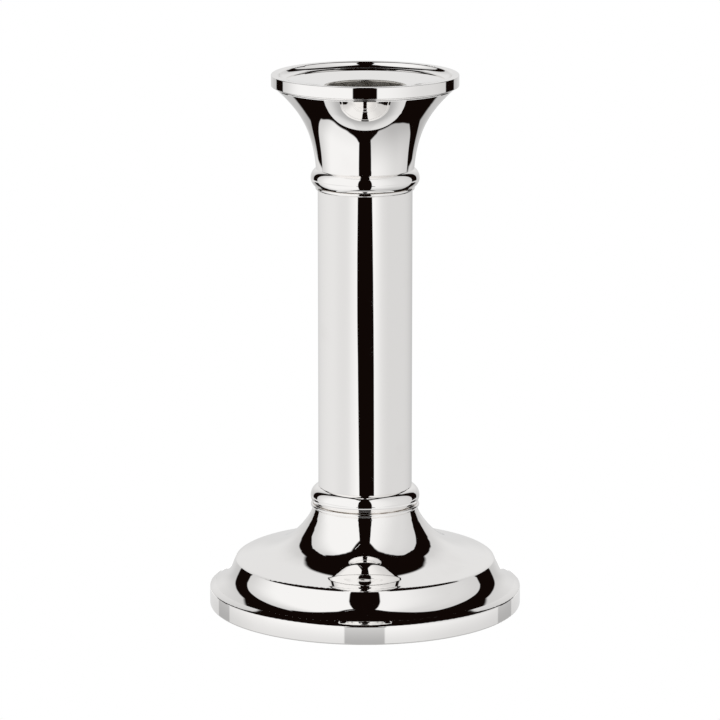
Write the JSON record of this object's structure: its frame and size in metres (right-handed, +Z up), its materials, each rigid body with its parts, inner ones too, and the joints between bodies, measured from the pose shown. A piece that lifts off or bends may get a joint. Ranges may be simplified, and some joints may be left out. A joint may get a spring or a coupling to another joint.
{
  "type": "column candlestick",
  "caption": "Silver-plated candlestick: weighted round base, plain column between beaded collars, flared capital and a lift-out nozzle with a dished rim.",
  "frame": {"origin": "centre of the felt underside, on the table", "axes": "+Z up along the turned axis; the object is round, so +X and +Y are free"},
  "size_m": [0.0928, 0.0928, 0.1596],
  "materials": {
    "silver_plate": "mirror-polished silver plate",
    "turned_brass": "bare turned brass",
    "zinc_steel": "bright zinc-plated steel",
    "sheet_steel": "plain cold-rolled sheet",
    "cast_iron": "rough casting, faced on the hub",
    "green_felt": "wool felt"
  },
  "bodies": {
    "stand": {"capital_shell": "silver_plate", "upper_collar": "silver_plate", "column_tube": "silver_plate", "lower_collar": "silver_plate", "base_shell": "silver_plate", "foot_ring": "silver_plate", "nozzle_sleeve": "turned_brass", "capital_plug": "turned_brass", "spacer_tube": "zinc_steel", "tie_rod": "zinc_steel", "hex_nuts": "zinc_steel", "plain_washers": "zinc_steel", "spring_washer": "zinc_steel", "base_plate": "sheet_steel", "ballast_weight": "cast_iron", "felt_pad": "green_felt"},
    "nozzle": {"drip_dish": "silver_plate", "rim_band": "silver_plate", "candle_socket": "silver_plate"}
  },
  "joints": [
    {"name": "nozzle_lift", "type": "slide", "parent": "stand", "child": "nozzle", "axis": [0, 0, 1], "range_m": [0, 0.026]}
  ]
}
